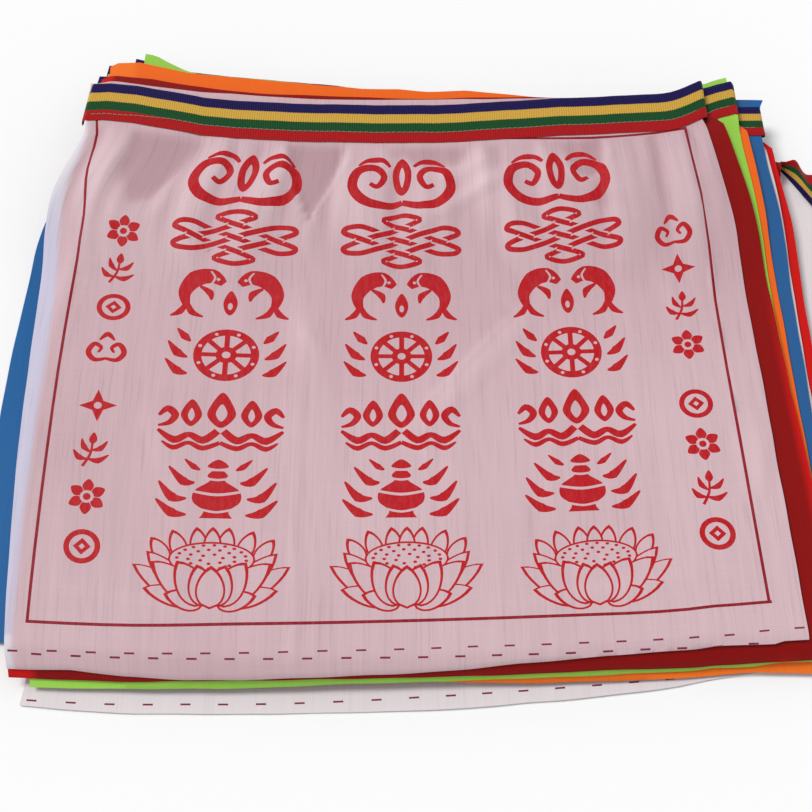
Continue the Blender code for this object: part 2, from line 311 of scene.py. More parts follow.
PLEAT_UNEVEN = 14
LOWEST_RISE = -1.15
GATHER_SOFT = 0.7


def gather_rise(x, y):
    total = 0 * x
    for gather in GATHERS:
        across = (x - gather.x - gather.lean * (y - gather.y)) / gather.wide
        along = (y - gather.y) / gather.long
        total = total + gather.high * smooth(1 - np.hypot(across, along))
    return total


def dent_rise(x, y):
    total = 0 * x
    for dent in DENTS:
        down = np.clip((dent.y - y) / dent.long, 0, 1)
        half = dent.wide * (1 - dent.pointed * down)
        across = (x - dent.x) / np.maximum(half, 1.0)
        round_end = np.hypot((x - dent.x) / dent.wide, (y - dent.y) / dent.long)
        out = between(round_end, np.hypot(across * DENT_POINT_WIDE, down**3), dent.pointed)
        rim = DENT_RIM * np.exp(-(((out - DENT_RIM_OUT) / DENT_RIM_WIDE) ** 2)) * (y < dent.y)
        total = total - dent.deep * smooth((1 - out) / DENT_WALL)
        total = total + rim * smooth((dent.y - y) / DENT_RIM_START)
    return total


def crease_rise(x, y):
    total = 0 * x
    for crease in CREASES:
        run_x = crease.end_x - crease.x
        run_y = crease.end_y - crease.y
        along = ((x - crease.x) * run_x + (y - crease.y) * run_y) / (run_x**2 + run_y**2)
        held = np.clip(along, 0, 1)
        away = np.hypot(x - crease.x - held * run_x, y - crease.y - held * run_y)
        swell = between(CREASE_ENDS, 1, np.sin(np.pi * held))
        total = total + crease.high * swell * smooth(1 - away / crease.wide)
    return total


def pleat_rise(x, y):
    """Shallow uneven pleats that the sewing draws down from the ribbon."""
    start = PLEAT_START + PLEAT_UNEVEN * wander(x * 1.6, 5)
    near = smooth((y - start) / (PLEAT_FULL - PLEAT_START))
    bent = x + 3 * wander(y, 2)
    pleats = np.sin(bent * 0.37) + 0.7 * np.sin(bent * 0.61 + 1.3) + wander(bent * 3, 3)
    return PLEAT_HIGH * near * pleats


def under_ribbon(index, x, y):
    """1 where the cloth lies against its ribbon, falling to 0 in front of it."""
    flag = FLAGS[index]
    front = top_line(flag, x) - flag.inset - RIBBON_WIDE
    return smooth((y - front + SEWN_FADE) / SEWN_FADE)


def top_cloth_rise(x, y):
    """How far the top cloth stands off the place where it would lie flat."""
    rise = GATHER_SOFT * gather_rise(x, y) + dent_rise(x, y) + crease_rise(x, y) + pleat_rise(x, y)
    rise = np.where(rise < 0, LOWEST_RISE * np.tanh(rise / LOWEST_RISE), rise)
    return rise * (1 - under_ribbon(0, x, y)) + TOP_SLACK


def satin_height(index, x, y):
    """The middle of the satin itself. It is drawn against its ribbon: up if it lies face up."""
    sewn = under_ribbon(index, x, y)
    lie = LIE_WAVE * (wander(x, index) + wander(y, index + 20)) * (1 - sewn)
    side = 1 if index % 2 == 0 else -1
    height = cloth_height(index, x, y) + side * SEWN_REACH * sewn + lie
    return height + top_cloth_rise(x, y) if index == 0 else height


def cloth_plan(index, step):
    """A cloth's points in plan, in rows from hem to top edge, with edges that aren't quite straight."""
    flag = FLAGS[index]
    columns = round((flag.top_right_x - flag.top_left_x) / step) + 1
    rows = round((flag.top_left_y - flag.foot_left_y) / step) + 1
    u, v = np.meshgrid(np.linspace(0, 1, columns), np.linspace(0, 1, rows))
    x = between(
        between(flag.foot_left_x, flag.foot_right_x, u), between(flag.top_left_x, flag.top_right_x, u), v
    )
    y = between(
        between(flag.foot_left_y, flag.foot_right_y, u), between(flag.top_left_y, flag.top_right_y, u), v
    )
    x = shaped(flag, x, y)
    deep = EDGE_WAVE_DEEP / CLOTH_SPAN
    left = (1 - smooth(u / deep)) * wander(y, index)
    right = (1 - smooth((1 - u) / deep)) * wander(y, index + 11)
    foot = EDGE_WAVE * wander(x, index + 31) + stray(FOOT_STRAYS, flag, x)
    head = EDGE_WAVE * wander(x, index + 47) + stray(LINE_STRAYS, flag, x) + stray(HEAD_STRAYS, flag, x)
    moved = y + (1 - smooth(v / deep)) * foot + (1 - smooth((1 - v) / deep)) * head
    return x + EDGE_WAVE * (left + right), moved


def rim_of(rows, columns):
    """The indices of a grid's outer points, anticlockwise in plan."""
    foot = list(range(columns))
    right = [row * columns + columns - 1 for row in range(1, rows)]
    head = [(rows - 1) * columns + column for column in range(columns - 2, -1, -1)]
    left = [row * columns for row in range(rows - 2, 0, -1)]
    return foot + right + head + left


def lay_flat(mesh, name, places):
    """Gives a mesh its flat layout: a place in metres for each of its points."""
    loops = np.zeros(len(mesh.loops), dtype=np.int32)
    mesh.loops.foreach_get("vertex_index", loops)
    mesh.uv_layers.new(name=name).uv.foreach_set("vector", places[loops].ravel())


def set_down(name, data):
    piece = bpy.data.objects.new(name, data)
    bpy.context.scene.collection.objects.link(piece)
    return piece


def satin_sheet(index, plan_x, plan_y, faces, rim, finishes, inked=None):
    """A cloth as a closed thin sheet: an upper and a lower side over the same plan, and a rim."""
    count = len(plan_x)
    height = satin_height(index, plan_x, plan_y)
    half = SATIN_THICK / 2
    upper = placed(plan_x, plan_y, height + half)
    lower = placed(plan_x, plan_y, height - half)
    corners = [list(face) for face in faces]
    below = [[i + count for i in reversed(face)] for face in corners]
    walls = [[b, a, a + count, b + count] for a, b in zip(rim, rim[1:] + rim[:1])]
    mesh = bpy.data.meshes.new(FLAGS[index].node + "_satin")
    mesh.from_pydata(np.concatenate([upper, lower]).tolist(), [], corners + below + walls)
    for finish in finishes:
        mesh.materials.append(finish)
    if inked is not None:
        plain = [0] * (len(below) + len(walls))
        mesh.polygons.foreach_set("material_index", list(inked) + plain)
    mesh.shade_smooth()
    mesh.set_sharp_from_angle(angle=math.radians(60))
    grain = np.tile(np.stack([plan_x, plan_y], axis=-1) * MM, (2, 1))
    lay_flat(mesh, "grain", grain)
    for name, share in lying_on(index, plan_x, plan_y).items():
        mesh.attributes.new(name, "FLOAT", "POINT").data.foreach_set("value", np.tile(share, 2))
    return set_down(FLAGS[index].node + "_satin", mesh)


# What shows through the satin: how soft the next cloth's edge looks, where the low blue cloth
# fades out, and how far the top cloth stands off, with painted shade in its dents and troughs and
# painted light on its raised folds. The outline that shows lies a little further in than the next
# cloth's own, or further out near its top.
SHOW_EDGE = 2.0
BLUE_FADES_FROM = 62
BLUE_FADE = 40
STANDOFF_SHADE_FLAT = 0.45
STANDOFF_LIGHT_FULL = 7.5
STANDOFF_SHADE_SUNK = 3.0
STANDOFF_SHADE_UNEVEN = 0.07
DARKER_UPPER = 0.1
UPPER_FROM = -40
UPPER_RUN = 90
LEFT_TUCK = 4.4
FOOT_TUCK = 2
HEAD_SPREAD = 7
HEAD_SHARE = 0.3


def inside(flag, x, y):
    """1 where a place lies over this cloth, fading to 0 past its edges. Its left edge bows inward."""
    share = np.clip((flag.top_left_y - y) / (flag.top_left_y - flag.foot_left_y), 0, 1)
    tucked = LEFT_TUCK * np.sin(np.pi * share) ** 2 + FOOT_TUCK * share
    spread = HEAD_SPREAD * smooth(1 - share / HEAD_SHARE)
    left = smooth((x - left_line(flag, y) - tucked + spread) / SHOW_EDGE)
    right = smooth((right_line(flag, y) - x) / SHOW_EDGE)
    foot = smooth(1 + (y - foot_line(flag, x)) / SHOW_EDGE)
    return left * right * foot


def lying_on(index, x, y):
    """Whether the next cloth and the low blue one lie under each place, and how far it stands off, with
    painted shade and painted light from its dents and folds.
    """
    last = index == len(FLAGS) - 1
    covered = 0 * x if last else inside(FLAGS[index + 1], x, y)
    blue = inside(FLAGS[9], x, y) * (1 - smooth((y - BLUE_FADES_FROM) / BLUE_FADE))
    standoff_shade = 0 * x
    if index == 0:
        rise = top_cloth_rise(x, y) - TOP_SLACK
        broad = wander(0.4 * x + 0.3 * y, 7) + wander(0.5 * y - 0.2 * x, 9)
        # Painted shade and painted light: the top cloth is darker where it sinks into dents and troughs and
        # paler where its gathers and ridges rise, besides showing less red as it stands off. It is also made
        # darker towards its upper part.
        standoff_shade = STANDOFF_SHADE_FLAT + rise / np.where(rise > 0, STANDOFF_LIGHT_FULL, STANDOFF_SHADE_SUNK)
        standoff_shade = standoff_shade + STANDOFF_SHADE_UNEVEN * broad - DARKER_UPPER * smooth((y - UPPER_FROM) / UPPER_RUN)
    return {"over_next": covered, "over_blue": blue, "standoff_and_painted_shade": np.clip(standoff_shade, 0, 1)}


def seen(red, green, blue):
    """A colour as a screen shows it, 0 to 255, turned into linear light."""
    parts = [part / 255 for part in (red, green, blue)]
    return tuple(p / 12.92 if p <= 0.04045 else ((p + 0.055) / 1.055) ** 2.4 for p in parts) + (1,)


def feed(tree, socket, value):
    """Gives a socket a value, or a link from another socket."""
    if isinstance(value, bpy.types.NodeSocket):
        tree.links.new(value, socket)
    else:
        socket.default_value = value


def add(tree, kind, inputs=None, **settings):
    """A shader node with its settings, and a value or a link for each input named."""
    made = tree.nodes.new(kind)
    for name, value in settings.items():
        setattr(made, name, value)
    for name, value in (inputs or {}).items():
        feed(tree, made.inputs[name], value)
    return made


def stretched(tree, place, wide, long):
    """Coordinates in which one unit is this wide and this long, in metres."""
    scale = (1 / wide, 1 / long, 1)
    return add(tree, "ShaderNodeMapping", {"Vector": place, "Scale": scale}).outputs["Vector"]


def mixed(tree, share, first, second):
    """A blend of two colours."""
    blend = add(tree, "ShaderNodeMix", data_type="RGBA")
    for socket, value in ((0, share), (6, first), (7, second)):
        feed(tree, blend.inputs[socket], value)
    return blend.outputs[2]


def scaled(tree, value, by, plus):
    """A value multiplied by the second and raised by the third."""
    made = add(tree, "ShaderNodeMath", operation="MULTIPLY_ADD")
    for socket, part in zip(made.inputs, (value, by, plus)):
        feed(tree, socket, part)
    return made.outputs[0]


def read(tree, name):
    return add(tree, "ShaderNodeAttribute", attribute_name=name).outputs["Fac"]


def laid(tree, name):
    """Places on the piece's own flat layout, in metres."""
    return add(tree, "ShaderNodeUVMap", uv_map=name).outputs["UV"]


def uneven_spots(tree, place, wide, long, detail, rough):
    inputs = {"Vector": stretched(tree, place, wide, long), "Scale": 1, "Detail": detail, "Roughness": rough}
    return add(tree, "ShaderNodeTexNoise", inputs).outputs["Fac"]


def thread_rows(tree, place, wide, long, bent, direction):
    inputs = {"Vector": stretched(tree, place, wide, long), "Scale": 1 / math.pi, "Distortion": bent}
    return add(tree, "ShaderNodeTexWave", inputs, bands_direction=direction).outputs["Fac"]


def coat(tree, shader, colour, value, relief, strength, deep):
    """Gives a shader its colour, made deeper or paler by a value, and a fine relief."""
    toned = add(tree, "ShaderNodeHueSaturation", {"Color": colour, "Value": value})
    bump = add(tree, "ShaderNodeBump", {"Height": relief, "Strength": strength, "Distance": deep})
    tree.links.new(toned.outputs["Color"], shader.inputs["Base Color"])
    tree.links.new(bump.outputs["Normal"], shader.inputs["Normal"])


def new_finish(name):
    finish = bpy.data.materials.new(name)
    finish.use_nodes = True
    return finish, finish.node_tree, finish.node_tree.nodes["Principled BSDF"]


def satin_finish(name, tint, rough, streaks):
    """Satin: long fine slubs down the cloth, a close weave, a sheen, and a tint given by a function."""
    finish, tree, shader = new_finish(name)
    grain = laid(tree, "grain")
    fine = uneven_spots(tree, grain, 0.0009, 0.030, 3, 0.6)
    broad = uneven_spots(tree, grain, 0.0055, 0.16, 2, 0.5)
    cross = uneven_spots(tree, grain, 0.040, 0.0008, 2, 0.5)
    slub = uneven_spots(tree, grain, 0.0011, 0.034, 1, 0.4)
    warp = thread_rows(tree, grain, 0.00036, 1, 0.4, "X")
    weft = thread_rows(tree, grain, 1, 0.00042, 0.4, "Y")
    thick = add(
        tree, "ShaderNodeMapRange", {"Value": slub, "From Min": 0.57, "From Max": 0.72, "To Max": 1.0}
    ).outputs["Result"]
    uneven = scaled(tree, broad, 0.9, scaled(tree, cross, 0.45, fine))
    even = scaled(tree, uneven, streaks, 1 - streaks * 1.17)
    value = scaled(tree, thick, -0.6 * streaks, even)
    weave = scaled(tree, warp, 0.5, scaled(tree, weft, 0.4, uneven))
    coat(tree, shader, tint(tree), value, weave, 0.55, 0.00007)
    tree.links.new(scaled(tree, broad, 0.14, rough), shader.inputs["Roughness"])
    shader.inputs["Specular IOR Level"].default_value = 0.12
    shader.inputs["Sheen Weight"].default_value = 0.03
    shader.inputs["Sheen Roughness"].default_value = 0.35
    return finish


def white_tint(tree):
    """White satin: pinkish over the red cloth and lilac over the blue one; over the red it is paler where it
    stands off and where painted light lies on its raised folds, and darker with painted shade in its dents.
    """
    alone = mixed(tree, read(tree, "over_blue"), seen(220, 214, 222), seen(197, 191, 212))
    # The darker colour is the painted shade of the dents and troughs, the paler one the stand-off and the
    # painted light of the raised folds.
    close = mixed(tree, read(tree, "standoff_and_painted_shade"), seen(184, 149, 156), seen(232, 206, 211))
    return mixed(tree, read(tree, "over_next"), alone, close)


def lower_white_tint(tree):
    return mixed(tree, read(tree, "over_next"), seen(226, 217, 219), seen(212, 200, 203))


def dyed_tint(close, alone):
    """A dyed satin's colour: deeper over another cloth, and brighter where it lies alone."""

    def tint(tree):
        return mixed(tree, read(tree, "over_next"), seen(*alone), seen(*close))

    return tint


SATIN = {
    "top": satin_finish("white_satin_top", white_tint, 0.36, 0.16),
    "white": satin_finish("white_satin", lower_white_tint, 0.38, 0.08),
    "red": satin_finish("red_satin", dyed_tint((138, 10, 9), (205, 18, 15)), 0.40, 0.10),
    "green": satin_finish("green_satin", dyed_tint((150, 204, 78), (158, 214, 84)), 0.40, 0.07),
    "orange": satin_finish("orange_satin", dyed_tint((240, 104, 28), (246, 118, 36)), 0.40, 0.07),
    "blue": satin_finish("blue_satin", dyed_tint((44, 94, 148), (30, 98, 160)), 0.40, 0.10),
}


def declare_cloth(piece, index):
    """All were cut 330 by 300 mm."""
    flag = FLAGS[index]
    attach(piece, "root")
    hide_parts(flag.node)


for index, flag in enumerate(FLAGS[1:-1], start=1):
    x, y = cloth_plan(index, LOWER_STEP)
    rows, columns = x.shape
    at = np.arange(rows * columns).reshape(rows, columns)
    quads = np.stack([at[:-1, :-1], at[:-1, 1:], at[1:, 1:], at[1:, :-1]], axis=-1).reshape(-1, 4)
    rim = rim_of(rows, columns)
    cloth = satin_sheet(index, x.ravel(), y.ravel(), quads.tolist(), rim, [SATIN[dye(flag)]])
    declare_cloth(cloth, index)


# The print on the top cloth, in red ink that has soaked into the satin, so it is part of the
# cloth's own surface. It has a thin frame line, rows of bold traditional ornaments, small ones
# down the sides, three lotus flowers and, along the hem, the short marks of the cutting line.
INK = (184, 22, 30)
LINE_INK = (142, 24, 38)
MARK_INK = (126, 40, 66)
FRAME_WIDE = 1.3
LOTUS_LINE = 0.85

# Every printed shape in order: its outline in plan, and 0 for bare cloth or 1 to 3 for its ink
printed = []


def turned(points, angle):
    cos, sin = math.cos(angle), math.sin(angle)
    return [(cos * x - sin * y, sin * x + cos * y) for x, y in points]


def mirrored(shapes):
    """The shapes with their mirror images about the upright axis."""
    return shapes + [([(-x, y) for x, y in points], ink) for points, ink in shapes]


def soft_place(before, start, end, after, t):
    """A place between start and end, on a curve that also heeds the places before and after."""
    bend = 2 * before - 5 * start + 4 * end - after
    swing = 3 * start - before - 3 * end + after
    return 0.5 * (2 * start + (end - before) * t + bend * t * t + swing * t**3)


def curve_through(points, closed=False, per=5):
    """A soft curve through a few points."""
    count = len(points)
    curve = []
    for i in range(count if closed else count - 1):
        steps = (-1, 0, 1, 2)
        if closed:
            near = [points[(i + step) % count] for step in steps]
        else:
            near = [points[min(max(i + step, 0), count - 1)] for step in steps]
        for part in range(per):
            curve.append(tuple(soft_place(*four, part / per) for four in zip(*near)))
    return curve if closed else curve + [points[-1]]


def blot(points):
    """A soft closed shape through a few points."""
    return curve_through(points, closed=True)


def oval(x, y, half_wide, half_high, count=16):
    turns = (2 * math.pi * i / count for i in range(count))
    return [(x + half_wide * math.cos(turn), y + half_high * math.sin(turn)) for turn in turns]


def brush(path, widths, per=5):
    """A brush stroke along a curve, with its width given at a few places from start to end."""
    line = curve_through(path, per=per) if len(path) > 2 else path
    last = len(line) - 1
    left, right = [], []
    for i, (x, y) in enumerate(line):
        ax, ay = line[max(i - 1, 0)]
        bx, by = line[min(i + 1, last)]
        long = math.hypot(bx - ax, by - ay) or 1
        across = (-(by - ay) / long, (bx - ax) / long)
        half = float(np.interp(i / last, np.linspace(0, 1, len(widths)), widths)) / 2
        left.append((x + across[0] * half, y + across[1] * half))
        right.append((x - across[0] * half, y - across[1] * half))
    return left + right[::-1]


def strand(path, wide, ink=1, clear=0.0, per=5):
    """A line of even width, with bare cloth beside it if it crosses over another."""
    shapes = [(brush(path, [wide + 2 * clear] * 2, per), 0)] if clear else []
    return shapes + [(brush(path, [wide] * 2, per), ink)]


def print_motif(shapes, x, y, wide=1.0, high=1.0, tilt=0.0):
    """Lays a motif's shapes on the cloth, in order."""
    for points, ink in shapes:
        moved = [(x + px * wide, y + py * high) for px, py in turned(points, tilt)]
        printed.append((moved, ink))


def leaf(path, wide, tip=0.6):
    return brush(path, [0.8, wide, tip]), 1


def cloud_scroll():
    scroll = [(0, -11), (-9, -13), (-19, -10.5), (-24.5, -3), (-22, 6), (-14, 8.5), (-9, 3.5)]
    scroll += [(-12, -2.5), (-16, -1)]
    tail = [(-22, 9.5), (-17, 13), (-10, 13.2), (-6, 9.5)]
    bud = blot([(0, 15), (4.6, 7), (3.6, -3), (0, -7), (-3.6, -3), (-4.6, 7)])
    slit = blot([(0, 9), (1.4, 4), (0, -2.5), (-1.4, 4)])
    half = [(brush(scroll, [3, 5.2, 4.6, 3.4, 2.2]), 1), (brush(tail, [1, 3.6, 1.6]), 1)]
    return mirrored(half) + [(bud, 1), (slit, 0)]


def endless_knot():
    """A square lattice of three strands each way, joined at their ends, and drawn wide."""

    def flat(points):
        return [((a - b) * 9.0, (a + b) * 3.55) for a, b in points]

    reach = 1.6
    wide, clear = 2.7, 0.9
    shapes = []
    for a in (-1, 0, 1):
        shapes += strand(flat([(a, -reach), (a, reach)]), wide)
    for b in (-1, 0, 1):
        shapes += strand(flat([(-reach, b), (reach, b)]), wide, clear=clear)
    for a in (-1, 0, 1):
        for b in (-1, 0, 1):
            if (a + b) % 2 == 0:
                shapes += strand(flat([(a, b - 0.36), (a, b + 0.36)]), wide, clear=clear)
    bend = [(-1, reach), (-0.92, 2.1), (-0.5, 2.35), (-0.08, 2.1), (0, reach)]
    corner = [(1, reach), (1.15, 2.1), (2.0, 2.0), (2.1, 1.15), (reach, 1)]
    for path in (bend, corner):
        shapes += strand(flat(path), wide)
        shapes += strand(flat([(-a, -b) for a, b in path]), wide)
    shapes += strand(flat([(b, a) for a, b in bend]), wide)
    shapes += strand(flat([(-b, -a) for a, b in bend]), wide)
    return shapes


def twin_fish():
    body = [(-3.5, 7), (-9, 11), (-16, 9), (-20.5, 1), (-19, -8)]
    upper_tail = [(-19.5, -6), (-22, -11), (-26, -13.5)]
    lower_tail = [(-18.8, -6), (-16.5, -11), (-11.5, -13.5)]
    fin = [(-14, 5), (-9.5, 1.5), (-8.5, -3)]
    gill = [(-9.6, 14), (-7.6, 10.3), (-9.4, 6)]
    fish = [
        (brush(body, [3.5, 8.4, 9, 6, 2.6]), 1),
        (brush(upper_tail, [2.2, 3.4, 0.8]), 1),
        (brush(lower_tail, [2.2, 3.4, 0.8]), 1),
        (brush(fin, [1.2, 3.6, 0.8]), 1),
        (brush(gill, [0.7, 1.1, 0.7]), 0),
        (oval(-6.1, 9.4, 0.85, 0.85, 10), 0),
    ]
    return mirrored(fish) + [
        (blot([(0, 3), (3, -3), (2.4, -9), (0, -12), (-2.4, -9), (-3, -3)]), 1),
        (oval(0, -6.5, 1.1, 2.2, 12), 0),
    ]


def wheel_with_leaves():
    shapes = [(oval(0, 0, 14.2, 14.6, 36), 1), (oval(0, 0, 10.6, 11.0, 32), 0)]
    for i in range(8):
        spoke = turned([(0, 2.5), (0, 12)], math.pi * i / 4)
        shapes += strand(spoke, 2.3)
    shapes += [(oval(0, 0, 4.6, 4.6, 20), 1), (oval(0, 0, 1.9, 1.9, 14), 0)]
    for i in range(8):
        x, y = turned([(0, 12.5)], math.pi * (i + 0.5) / 4)[0]
        shapes.append((oval(x, y, 0.85, 0.85, 10), 0))
    leaves = [
        leaf([(16, -11), (20.5, -9.5), (26, -3)], 4.4),
        leaf([(16.6, -2), (21, 0.5), (25.5, 7)], 4.4),
        leaf([(15.8, 7), (18.5, 9.8), (22, 14.2)], 4.0),
    ]
    return shapes + mirrored(leaves)


def jewels_and_waves():
    drop = blot([(0, 15), (5, 7), (5.6, 1.5), (0, -4), (-5.6, 1.5), (-5, 7)])
    core = blot([(0, 8.6), (2.4, 3.6), (0, -0.6), (-2.4, 3.6)])
    side = blot([(12.5, 11), (16.6, 4.6), (16.2, 0.4), (12.5, -3.4), (8.8, 0.4), (8.4, 4.6)])
    slit = blot([(12.5, 6.2), (13.9, 2.4), (12.5, -0.6), (11.1, 2.4)])
    curl = [(26, 2), (22.5, 5.6), (19.2, 2.4), (21.4, -1.6), (26, -3.4)]
    wave = [(1.2, -5.6), (7, -10.4), (13, -7.6), (19, -10.4), (26, -5.4)]
    low = [(0, -11.6), (7, -14.4), (13, -11.8), (19, -14.4), (24, -11.4)]
    half = [(side, 1), (slit, 0), (brush(curl, [1.2, 3.4, 3.4, 2.6, 1.0]), 1)]
    half += [(brush(wave, [3.4, 3.8, 2.8, 3.8, 1.4]), 1), (brush(low, [2.0, 2.6, 2.0, 2.6, 0.8]), 1)]
    return mirrored(half) + [(drop, 1), (core, 0)]


def vase_with_leaves():
    body = [(-2.6, 9), (-4.4, 6.6), (-3.2, 4), (-9.6, -1), (-10, -6.6), (-5.4, -11), (-7, -14.6)]
    outline = curve_through(body) + curve_through([(-x, y) for x, y in reversed(body)])
    cap = blot([(0, 15), (4.6, 11.4), (0, 10.2), (-4.6, 11.4)])
    neck = brush([(-5, 5.2), (0, 4.5), (5, 5.2)], [1.0, 1.2, 1.0])
    band = brush([(-12, -1.0), (0, -3.0), (12, -1.0)], [1.2, 1.4, 1.2])
    foot = brush([(-7, -10.2), (0, -11.6), (7, -10.2)], [1.1, 1.1, 1.1])
    leaves = [
        leaf([(12.5, -13), (19, -12), (25.8, -5.5)], 4.6, 0.8),
        leaf([(12.8, -5), (19, -4.5), (25, 3.5)], 4.6, 0.8),
        leaf([(9.6, 3), (14.5, 3.6), (21, 11)], 4.4, 0.8),
        leaf([(7.6, 9.5), (10.5, 11.2), (14.4, 15)], 3.0),
    ]
    return [(outline, 1), (cap, 1), (neck, 0), (band, 0), (foot, 0)] + mirrored(leaves)


def small_flower():
    shapes = []
    for i in range(6):
        petal = blot([(0, 1.8), (2.5, 5), (0, 8.4), (-2.5, 5)])
        shapes.append((turned(petal, math.pi * i / 3), 1))
    return shapes + [(oval(0, 0, 3.0, 3.0, 14), 0), (oval(0, 0, 1.7, 1.7, 12), 1)]


def small_sprig():
    stem = [(-3.5, -8), (-0.6, -2), (0, 4)]
    leaves = [
        brush([(-1.8, -4.4), (-5.4, -3.6), (-8, 0)], [0.6, 3.0, 0.5]),
        brush([(-0.6, -1), (-3.6, 1.6), (-4.8, 5.6)], [0.6, 2.8, 0.5]),
        brush([(-1.6, -4.2), (3, -5), (7.4, -2)], [0.6, 3.0, 0.5]),
        brush([(-0.2, 0), (3.6, 1), (6.4, 4.8)], [0.6, 2.8, 0.5]),
        blot([(0.2, 9), (1.9, 5.4), (0, 3), (-1.7, 5.4)]),
    ]
    return [(brush(stem, [1.4, 1.2, 1.0]), 1)] + [(outline, 1) for outline in leaves]


def small_star():
    points = []
    for i in range(8):
        reach = 8.4 if i % 2 == 0 else 3.4
        points += turned([(0, reach)], math.pi * i / 4)
    return [(points, 1), (oval(0, 0, 1.8, 1.8, 12), 0)]


def small_cloud():
    curl = [(0.2, -6), (-5, -6.8), (-8, -2.6), (-5.6, 2), (-2.4, 0), (-3.6, -2.8)]
    crest = [(-3.4, 4.2), (0, 7.6), (3.4, 4.2)]
    return mirrored([(brush(curl, [1.4, 2.6, 2.6, 2.0, 1.0]), 1)]) + [(brush(crest, [0.8, 3.0, 0.8]), 1)]


def small_ring():
    shapes = [(oval(0, 0, 7.8, 7.8, 24), 1), (oval(0, 0, 5.4, 5.4, 20), 0)]
    diamond = [(0, 3.8), (3.8, 0), (0, -3.8), (-3.8, 0)]
    return shapes + [(diamond, 1), ([(x * 0.36, y * 0.36) for x, y in diamond], 0)]


def petal_outline(long, half_wide, inset, curl):
    """A pointed petal that stands on its base, with its tip drawn to one side by its curl."""
    steps = 11
    left, right = [], []
    for i in range(steps + 1):
        t = i / steps
        half = max(2.42 * (half_wide - inset) * t**0.55 * (1 - t) ** 0.78, 0)
        y = inset * 1.2 + (long - inset * 3.2) * t
        middle = curl * t * t * long
        if i == 0 or i == steps:
            left.append((middle, y))
            continue
        left.append((middle - half, y))
        right.append((middle + half, y))
    return left + right[::-1]


# The lotus: rows of petals from the back to the front, each with its base, length, half width,
# lean in degrees and curl, then mirrored. The seed head lies between the back and the front rows.
Petal = namedtuple("Petal", "x, y, long, wide, lean, curl")
BACK_PETALS = [
    Petal(17, 3, 13, 3.6, 44, -0.10),
    Petal(11, 4, 14, 3.8, 27, -0.06),
    Petal(4.5, 5, 13.5, 3.8, 11, -0.03),
    Petal(4, -13, 31, 5.2, 72, -0.16),
    Petal(4, -13, 30, 5.6, 55, -0.12),
]
FRONT_PETALS = [
    Petal(3, -12, 24, 5.0, 94, -0.20),
    Petal(2, -13, 27, 6.4, 64, -0.16),
    Petal(2, -14.5, 17, 4.6, 84, -0.10),
    Petal(1.5, -15, 22, 6.6, 42, -0.12),
    Petal(1, -16, 18.5, 5.8, 20, -0.08),
]
MIDDLE_PETAL = Petal(0, -17, 18.5, 6.2, 0, 0.0)
SEED_X = 17.5
SEED_Y = 7.6
SEED_MIDDLE = 4.2


def petal_shapes(petal):
    shapes = []
    for inset, ink in ((0, 1), (LOTUS_LINE, 0)):
        outline = petal_outline(petal.long, petal.wide, inset, petal.curl)
        lean = turned(outline, -math.radians(petal.lean))
        shapes.append(([(petal.x + x, petal.y + y) for x, y in lean], ink))
    return shapes


def lotus():
    shapes = []
    for petal in BACK_PETALS:
        shapes += mirrored(petal_shapes(petal))
    shapes += petal_shapes(Petal(0, 5, 13.5, 3.8, 0, 0.0))
    shapes.append((oval(0, SEED_MIDDLE, SEED_X, SEED_Y, 40), 1))
    shapes.append((oval(0, SEED_MIDDLE, SEED_X - LOTUS_LINE, SEED_Y - LOTUS_LINE, 40), 0))
    for ring, seeds in ((0.80, 20), (0.54, 13), (0.27, 6)):
        for i in range(seeds):
            turn = 2 * math.pi * (i + ring) / seeds
            x = SEED_X * ring * math.cos(turn)
            y = SEED_MIDDLE + SEED_Y * ring * math.sin(turn)
            shapes.append((oval(x, y, 0.85, 0.6, 8), 1))
    for petal in FRONT_PETALS:
        shapes += mirrored(petal_shapes(petal))
    return shapes + petal_shapes(MIDDLE_PETAL)


# The places of the print: the three columns, the rows of the bold ornaments with their size, the
# two side columns of small ornaments, the frame's corners and bends, and the rows of hem marks
COLUMNS = (-78.2, -2, 76)
COLUMN_RISE = 0.7
SMALL_SIZE = 0.98
SMALL_TILT = 0.05
Row = namedtuple("Row", "motif, y, wide, high")
ROWS = [
    Row(cloud_scroll, 102, 1.0, 1.0),
    Row(endless_knot, 70, 1.0, 0.98),
    Row(twin_fish, 38, 0.99, 0.97),
    Row(wheel_with_leaves, 3.5, 0.99, 1.0),
    Row(jewels_and_waves, -32, 1.0, 0.98),
    Row(vase_with_leaves, -65.5, 0.96, 0.93),
]
SIDE_MOTIFS = [
    small_flower, small_sprig, small_ring, small_cloud, small_star, small_sprig, small_flower, small_ring,
]
LEFT_PLACES = [
    (-128.7, 69), (-129.1, 48.5), (-129.3, 27), (-129.8, 4), (-130.4, -27), (-130.9, -49.5),
    (-131.3, -71.5), (-131.7, -94),
]
RIGHT_PLACES = [
    (129, 69), (130, 48.5), (130, 27), (130, 5), (130, -27.5), (130.5, -48.5), (131, -70.5),
    (131.5, -92),
]
LOTUS_PLACES = [(-78.9, -102), (0.4, -101.5), (79.4, -103.5)]
FRAME_LINES = [
    [
        (-164.4, 131), (-157.9, 104.6), (-148.9, 80.7), (-148.6, 56.7), (-149.5, 29), (-150.1, -50.4),
        (-151.8, -127.9),
    ],
    [
        (-152.3, -127.3), (-108.5, -126.4), (-58.8, -124.3), (11, -123.3), (63, -123.7), (115, -124.9),
        (149.8, -122.6),
    ],
    [(147, 124.9), (145.8, 29), (148.7, -122.7)],
    [(-163.5, 130.5), (-60, 132), (20, 130.5), (60, 127.8), (108, 124.6), (147.6, 124.2)],
]
MARK_LONG = 4.1
MARK_WIDE = 0.75
MARK_PITCH = 15.7
MARK_CLOSES = 0.029
MARK_UNEVEN = 0.4
